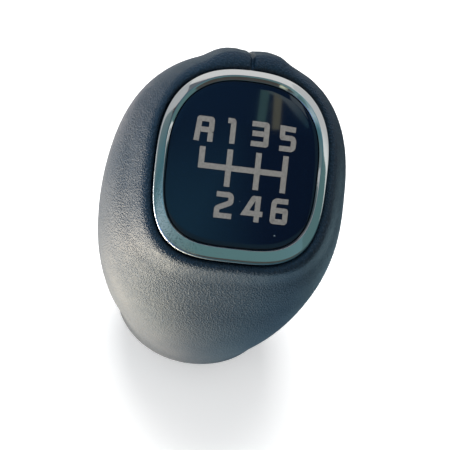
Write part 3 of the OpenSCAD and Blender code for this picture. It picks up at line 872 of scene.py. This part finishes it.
# %% Numerals and the reverse letter
GLYPHS = {
    "R": [[(0.54, 0), (0.92, 4.56, 0.06), (3.43, 4.56, 0.25), (3.43, 2.38, 0.06), (1.3, 2.38)],
          [(3.34, 1.84), (3.32, 0)]],
    "1": [[(0, 4.63), (1.17, 4.63, 0.25), (1.17, 0)]],
    "2": [[(0.24, 4.85), (3.29, 4.85, 0.62), (3.29, 3.32, 0.55), (0.59, 2.02, 0.55),
           (0.59, 0.54), (3.73, 0.54)]],
    "3": [[(0, 4.6), (3.1, 4.6, 0.25), (3.16, 0.54, 0.08), (0.05, 0.54)],
          [(0.2, 2.65), (2.58, 2.65)]],
    "4": [[(3.24, 0), (3.24, 4.78), (2.27, 4.78, 0.08), (0.72, 1.72), (2.7, 1.72)],
          [(3.78, 1.72), (4.4, 1.72)]],
    "5": [[(3.24, 4.56), (0.47, 4.7), (0.54, 2.77, 0.1), (2.99, 2.77, 0.62),
           (2.99, 0.52, 0.55), (0.1, 0.52)]],
    "6": [[(3.41, 4.79), (0.48, 4.79, 0.75), (0.48, 0.56, 0.25), (3.05, 0.56, 0.25),
           (3.05, 2.85, 0.15), (1.02, 2.85)]],
}
PLACES = {"R": (-10.72, 3.5), "1": (-4.05, 3.64), "3": (0.95, 3.67), "5": (6.85, 3.41),
          "2": (-5.0, -11.62), "4": (0.65, -11.67), "6": (6.74, -11.62)}
GATES = [-8.64, -2.97, 2.97, 8.62]
BAR_Y = -1.36
GATE_TOP = 2.45
GATE_FOOT = -5.16


def make_pattern():
    """All strokes drawn flat, given the ink's thickness, and laid on the dome."""
    bm = bmesh.new()
    reverse, first, third, fifth = GATES
    half = GATE_W / 2
    pen_stroke(bm, [(reverse, GATE_TOP), (reverse, BAR_Y), (fifth - half, BAR_Y)], GATE_W)
    pen_stroke(bm, [(fifth, GATE_TOP), (fifth, GATE_FOOT)], GATE_W)
    for gate in (first, third):
        pen_stroke(bm, [(gate, GATE_TOP), (gate, BAR_Y + half)], GATE_W)
        pen_stroke(bm, [(gate, BAR_Y - half), (gate, GATE_FOOT)], GATE_W)
    for glyph, (x, y) in PLACES.items():
        for stroke in GLYPHS[glyph]:
            pen_stroke(bm, [(x + p[0], y + p[1], *p[2:]) for p in stroke], PEN_W)
    bmesh.ops.recalc_face_normals(bm, faces=bm.faces)
    for f in bm.faces:
        if f.normal.z < 0:
            f.normal_flip()
    raised = bmesh.ops.extrude_face_region(bm, geom=bm.faces[:])["geom"]
    for v in raised:
        if isinstance(v, bmesh.types.BMVert):
            v.co.z += INK_H
    for v in bm.verts:
        v.co = from_plate(v.co.x, v.co.y, dome(v.co.x, v.co.y) + v.co.z - INK_SUNK) * MM
    bmesh.ops.recalc_face_normals(bm, faces=bm.faces)
    return bm


pattern = finish_mesh("shift_pattern", make_pattern(), SILVER, smooth_shade=False)

# %% [markdown]
# The rest are small parts: a textured plastic ring under the base, plated screws, a rubber
# bush and a brass insert. Their solids already have the right shape, so they only get
# finishes. Parts sealed inside get theirs too, since the knob may be taken apart on screen.
# One recipe for plastics and one for metals is enough, because the shared groups do the rest.


# %% Plain finishes
def plastic_material(name, colour, roughness, grain):
    material, tree, shader, place = new_material(name, Roughness=roughness)
    marks = use_group(tree, MARKS, place, Marks_per_metre=200.0)
    paler = tuple(c * 1.35 + 0.004 for c in colour)
    feed(tree, shader, Normal=bump(tree, clouds(tree, place, grain, 3.0), 0.04),
         Base_Color=mix_colour(tree, remap(tree, marks["Smear"], 0.35, 0.7), colour, paler))
    return material


def metal_material(name, colour, low, high):
    material, tree, shader, place = new_material(name, Metallic=1.0)
    marks = use_group(tree, MARKS, place, Marks_per_metre=500.0)
    darker = tuple(c * 0.7 for c in colour)
    feed(tree, shader, Roughness=remap(tree, marks["Smear"], 0.3, 0.7, low, high),
         Base_Color=mix_colour(tree, marks["Hairline"], colour, darker))
    return material


FINISHES = {
    "foam_layer": plastic_material("moulded foam", (0.62, 0.57, 0.44), 0.9, 1500.0),
    "core_left": plastic_material("nylon, left half", (0.06, 0.065, 0.07), 0.5, 900.0),
    "core_right": plastic_material("nylon, right half", (0.07, 0.075, 0.08), 0.5, 900.0),
    "core_screws": metal_material("plated core screws", (0.62, 0.63, 0.65), 0.22, 0.4),
    "lever_insert": metal_material("turned brass", (0.72, 0.52, 0.24), 0.2, 0.38),
    "lever_bush": plastic_material("matt rubber", (0.012, 0.012, 0.013), 0.75, 1800.0),
    "weight": metal_material("turned steel", (0.45, 0.45, 0.46), 0.25, 0.45),
    "base_ring": plastic_material("textured black plastic", (0.012, 0.012, 0.014), 0.55, 2400.0),
    "base_screws": metal_material("plated base screws", (0.6, 0.61, 0.63), 0.2, 0.4),
    "plate_carrier": plastic_material("carrier plastic", (0.02, 0.02, 0.022), 0.5, 900.0),
    "carrier_screws": metal_material("plated carrier screws", (0.62, 0.63, 0.65), 0.22, 0.4),
    "plate_tape": plastic_material("adhesive pad", (0.1, 0.1, 0.105), 0.85, 2200.0),
}
for node, finish in FINISHES.items():
    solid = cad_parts[node]
    solid.data.materials.clear()
    solid.data.materials.append(finish)
print("finishes given to", len(FINISHES), "solids")

# %% [markdown]
# The photograph looks down on the knob from a little left of its front, with the camera rolled.
# A camera could be aimed with a constraint and turned by hand. Here its three axes are worked
# out from the angles and set as one matrix, so that they can be fitted to the picture exactly.

# %% Camera at the photograph's angle
ELEVATION = radians(46.5)
AZIMUTH = radians(12.04)
CAMERA_ROLL = radians(15.3)
DISTANCE = 302.0
TARGET = Vector((1.4, -6.36, 41.94))
FRAME_PX = 450
PX_PER_MM = 4.5
SENSOR = 36.0
NEAREST = 10


def make_camera():
    toward = Vector((-cos(ELEVATION) * sin(AZIMUTH), -cos(ELEVATION) * cos(AZIMUTH),
                     sin(ELEVATION)))
    right = Vector((cos(AZIMUTH), -sin(AZIMUTH), 0))
    up = toward.cross(right)
    rolled_right = cos(CAMERA_ROLL) * right + sin(CAMERA_ROLL) * up
    rolled_up = -sin(CAMERA_ROLL) * right + cos(CAMERA_ROLL) * up
    data = bpy.data.cameras.new("camera")
    data.sensor_width = SENSOR
    data.lens = SENSOR * PX_PER_MM * DISTANCE / FRAME_PX
    data.clip_start = NEAREST * MM
    camera = bpy.data.objects.new("camera", data)
    turn = Matrix((rolled_right, rolled_up, toward)).transposed()
    camera.matrix_world = Matrix.Translation((TARGET + toward * DISTANCE) * MM) @ turn.to_4x4()
    bpy.context.scene.collection.objects.link(camera)
    bpy.context.scene.camera = camera
    print("lens", round(data.lens, 1), "mm")


make_camera()

# %% [markdown]
# The knob stands on plain white. More light would make a grey floor white, but it would bleach
# the knob as well. So the floor keeps its light and its soft shadow, and glows a little for the
# camera and for mirrors only, more so far away, where the lamps don't reach. The world does the
# same: white to look at, and a weaker, cooler sky as a source of light.

# %% Floor and world
FLOOR_HALF = 1.5
FLOOR_GAP = 0.02
SKY_TONE = (0.96, 0.98, 1.0, 1)
SKY_STRENGTH = 0.48
WHITE = (1, 1, 1, 1)


def seen_directly(tree):
    """1 for rays from the camera and rays in mirrors and glass, and 0 for the others."""
    path = add(tree, "ShaderNodeLightPath").outputs
    seen = calc(tree, "MAXIMUM", path["Is Camera Ray"], path["Is Glossy Ray"])
    return calc(tree, "MAXIMUM", seen, path["Is Transmission Ray"])


def floor_material():
    material, tree, shader, place = new_material(
        "pale floor", Base_Color=(0.93, 0.93, 0.93, 1), Roughness=0.9, Specular_IOR_Level=0.1,
        Emission_Color=WHITE)
    glow = remap(tree, distance(tree, place), 0.05, 0.5, 0.36, 0.6)
    feed(tree, shader, Normal=bump(tree, clouds(tree, place, 60.0, 3.0), 0.02),
         Emission_Strength=calc(tree, "MULTIPLY", seen_directly(tree), glow))
    return material


def make_floor():
    bm = bmesh.new()
    bmesh.ops.create_grid(bm, x_segments=4, y_segments=4, size=FLOOR_HALF)
    floor = new_object("floor", bm, floor_material())
    floor.location.z = CAD_BOX[0][2] - FLOOR_GAP * MM


def make_world():
    world = bpy.data.worlds.new("studio")
    bpy.context.scene.world = world
    world.use_nodes = True
    tree = world.node_tree
    tree.nodes.clear()
    sky = add(tree, "ShaderNodeBackground", {"Color": SKY_TONE, "Strength": SKY_STRENGTH})
    white = add(tree, "ShaderNodeBackground", {"Color": WHITE, "Strength": 1.0})
    both = add(tree, "ShaderNodeMixShader", {0: seen_directly(tree), 1: sky.outputs[0],
                                             2: white.outputs[0]})
    add(tree, "ShaderNodeOutputWorld", {"Surface": both.outputs[0]})


make_floor()
make_world()
print("the sky lights the knob with a strength of", SKY_STRENGTH)

# %% [markdown]
# Chrome and gloss show the room, so the room is part of the lighting. A photographer stands
# coloured cards round a shiny object, out of the picture, and so does this scene. Its cards are
# seen only in reflections, and light nothing. Low teal walls in front and at the sides colour
# the bezel, and a pale wall behind brightens its top. A dark ceiling in front, with two slats
# and a pale corner, is what the gloss plate shows. A photograph of a room could be wrapped
# round the scene instead, but cards can be moved one at a time until each glint sits right.


# %% A card
def make_card(name, centre, size, turn, colour, fade_to=None, axis="X"):
    """A flat card, size across and up, turned as its three angles say, in degrees."""
    bm = bmesh.new()
    bmesh.ops.create_grid(bm, x_segments=1, y_segments=1, size=0.5)
    bmesh.ops.scale(bm, vec=(*size, 1), verts=bm.verts)
    material = bpy.data.materials.new(name)
    material.use_nodes = True
    tree = material.node_tree
    tree.nodes.clear()
    glow = add(tree, "ShaderNodeEmission", {"Color": (*colour, 1), "Strength": 1.0})
    add(tree, "ShaderNodeOutputMaterial", {"Surface": glow.outputs[0]})
    if fade_to:
        reach = size["XY".index(axis)] / 2
        share = remap(tree, along_axis(tree, object_place(tree), axis), -reach, reach)
        feed(tree, glow, Color=mix_colour(tree, share, colour, fade_to))
    card = new_object(name, bm, material)
    card.location = centre
    card.rotation_euler = [radians(v) for v in turn]
    card.visible_camera = card.visible_diffuse = card.visible_shadow = False
    return tree, glow


# %% The room, in metres
WALL = 0.6
CEILING = 1.0
SLAT_Z = 0.99
FLAT = (0, 0, 0)
FACING = (90, 0, 0)
SIDEWAYS = (90, 0, 90)

BROWN = (0.06, 0.055, 0.052)
DARK = (0.03, 0.035, 0.045)
SLATE = (0.035, 0.05, 0.065)
NAVY = (0.1, 0.3, 0.42)
BLUISH = (0.06, 0.16, 0.26)
TEAL = (0.06, 0.15, 0.18)
GREY_TEAL = (0.1, 0.195, 0.2)
SEA_GREEN = (0.7, 0.9, 0.8)
MIST = (0.32, 0.42, 0.47)
GREY = (0.5, 0.5, 0.5)
PALE = (0.66, 0.65, 0.64)

# Each card: name, middle, size, turn, colour, and for some the colour it fades to, and the axis
CARDS = [
    ("front wall, foot", (0, -WALL, 0.025), (1.2, 0.05), FACING, BROWN),
    ("front wall, low left", (-0.28, -WALL, 0.25), (0.64, 0.4), FACING, MIST, GREY_TEAL),
    ("front wall, low right", (0.32, -WALL, 0.25), (0.56, 0.4), FACING, GREY_TEAL,
     (0.11, 0.21, 0.23)),
    ("front wall, left foot", (-0.4, -0.595, 0.055), (0.4, 0.11), FACING, SLATE, GREY_TEAL, "Y"),
    ("front wall, straw foot", (-0.055, -0.59, 0.025), (0.07, 0.016), FACING, (0.7, 0.75, 0.55)),
    ("right wall, front", (WALL, -0.345, 0.5), (0.51, 1.0), SIDEWAYS, (0.085, 0.165, 0.17)),
    ("right wall, middle", (WALL, -0.01, 0.5), (0.16, 1.0), SIDEWAYS, (0.72, 0.74, 0.73), GREY),
    ("right wall, back", (WALL, 0.335, 0.5), (0.53, 1.0), SIDEWAYS, GREY),
    ("left wall, corner", (-WALL, -0.48, 0.31), (0.24, 0.62), SIDEWAYS, (0.26, 0.37, 0.42),
     TEAL),
    ("left wall, front", (-WALL, -0.2, 0.31), (0.32, 0.62), SIDEWAYS, TEAL, (0.14, 0.19, 0.2)),
    ("left wall, top", (-WALL, -0.32, 0.81), (0.56, 0.38), SIDEWAYS, BROWN),
    ("left wall, back", (-WALL, 0.28, 0.5), (0.64, 1.0), SIDEWAYS, (0.42, 0.43, 0.44)),
    ("back wall", (0, WALL, 0.5), (1.2, 1.0), FACING, PALE),
    ("ceiling, front", (0, -0.32, CEILING), (1.2, 0.56), FLAT, BLUISH, DARK),
    ("ceiling, middle", (0, 0.14, CEILING), (1.2, 0.36), FLAT, (0.13, 0.14, 0.16)),
    ("ceiling, back", (0, 0.46, CEILING), (1.2, 0.28), FLAT, PALE),
    ("slat, green", (0.203, -0.52, SLAT_Z), (0.028, 0.14), (0, 0, 4), (0.4, 0.8, 0.68)),
    ("slat, straw", (0.25, -0.52, SLAT_Z), (0.026, 0.14), (0, 0, 9), (1.05, 1.0, 0.6)),
    ("pale corner", (0.272, -0.452, SLAT_Z), (0.14, 0.06), (0, 0, -20), SEA_GREEN,
     (0.1, 0.25, 0.32)),
    ("pale corner, right", (0.335, -0.48, 0.985), (0.15, 0.09), (0, 0, -40), (0.75, 0.9, 0.9),
     (0.15, 0.35, 0.42)),
    ("ceiling, right side", (0.47, -0.1, 0.98), (0.16, 0.62), (0, 0, -14), (0.7, 0.85, 0.85)),
]
for card in CARDS:
    make_card(*card)
print("cards round the knob:", len(CARDS))

# %% [markdown]
# Leather has no mirror gloss, only a broad sheen that melts what it reflects into soft patches.
# A sheet on the floor, again seen only in reflections, gives it those patches: pools of light
# that fade from their middles like a lamp's on a table. Most lie at the left, where the real
# sheen is. Lamps could do it too, but each would wash over the whole knob and the floor.

# %% The painted sheet on the floor, and the painted upper wall in front
FLOOR_NEAR = (0.02, 0.05, 0.06)
FLOOR_FRONT = (0.05, 0.11, 0.12)
BLACK = (0, 0, 0)

# Each pool: its middle across and forward, its radius, its colour
POOLS = [
    (-0.06, -0.037, 0.031, (10.6, 9.1, 7.0)),
    (-0.095, -0.03, 0.045, (6.3, 5.6, 4.8)),
    (-0.03, -0.04, 0.02, (3.9, 4.3, 3.5)),
    (-0.025, -0.022, 0.012, (1.2, 0.7, 0.5)),
    (-0.01, -0.032, 0.014, (1.4, 1.1, 1.0)),
    (0.01, -0.036, 0.014, (0.9, 1.3, 1.4)),
    (0.035, -0.035, 0.02, (0.3, 0.6, 0.95)),
    (-0.15, 0.0, 0.08, (3.6, 3.7, 3.5)),
    (-0.06, 0.12, 0.07, (2.4, 2.1, 2.1)),
    (-0.22, -0.15, 0.11, (0.3, 0.6, 1.7)),
    (-0.06, 0.24, 0.12, (0.8, 1.0, 0.9)),
    (0.07, 0.02, 0.04, (0.7, 1.1, 1.3)),
]


def pool_share(tree, place, x, y, radius):
    """1 in the middle of a pool, and fading as a bell curve with the distance from it."""
    gap = calc(tree, "DIVIDE", distance(tree, place, (x, y, 0)), radius)
    return calc(tree, "EXPONENT", calc(tree, "MULTIPLY", calc(tree, "POWER", gap, 2.0), -1.0))


def paint_sheet():
    """Dark paint, browner towards the front wall, with the pools added on top."""
    tree, glow = make_card("painted sheet", (0, 0, 0.1 * MM), (1.2, 1.2), FLAT, BROWN)
    place = object_place(tree)
    forward = along_axis(tree, place, "Y")
    paint = mix_colour(tree, remap(tree, forward, -0.15, -0.1), FLOOR_FRONT, FLOOR_NEAR)
    paint = mix_colour(tree, remap(tree, forward, -0.26, -0.2), BROWN, paint)
    for x, y, radius, colour in POOLS:
        pool = mix_colour(tree, pool_share(tree, place, x, y, radius), BLACK, colour)
        paint = vector_calc(tree, "ADD", paint, pool)
    feed(tree, glow, Color=paint)


def paint_wall():
    """The upper front wall: navy at its lower left, dark towards the top and the right."""
    tree, glow = make_card("front wall, high", (0, -WALL, 0.725), (1.2, 0.55), FACING, DARK)
    place = object_place(tree)
    right = remap(tree, along_axis(tree, place, "X"), -0.03, 0.22)
    top = remap(tree, along_axis(tree, place, "Y"), -0.22, 0.28, 0.0, 0.75)
    feed(tree, glow, Color=mix_colour(tree, calc(tree, "MAXIMUM", right, top), NAVY, DARK))


paint_sheet()
paint_wall()
print("pools of light on the sheet:", len(POOLS))

# %% [markdown]
# Two large, soft lamps are enough for the rest: a low one from the left, as from a window, and
# one overhead. They stay weak, so that a colour renders about as it is written. Mirrors don't
# show them, because a bright rectangle in the bezel would give the studio away.


# %% Lamps
def area_lamp(name, place, aim, size, power, colour):
    data = bpy.data.lights.new(name, "AREA")
    data.shape = "RECTANGLE"
    data.size, data.size_y = size
    data.energy = power
    data.color = colour
    lamp = bpy.data.objects.new(name, data)
    lamp.location = place
    direction = Vector(aim) - Vector(place)
    lamp.rotation_euler = direction.to_track_quat("-Z", "Y").to_euler()
    lamp.visible_glossy = False
    bpy.context.scene.collection.objects.link(lamp)
    print(name, "lamp of", power, "W")


AIM = (0, -0.005, 0.04)
area_lamp("window", (-0.4, -0.22, 0.06), AIM, (0.4, 0.16), 2.0, (1.0, 0.98, 0.95))
area_lamp("ceiling", (-0.05, 0.25, 0.7), AIM, (0.5, 0.4), 5.5, (1.0, 1.0, 1.0))

# %% [markdown]
# Last come the view settings, kept plain so that colours aren't bent.

# %% Plain view settings
bpy.context.scene.view_settings.view_transform = "Standard"
print("colours are shown as they are written")
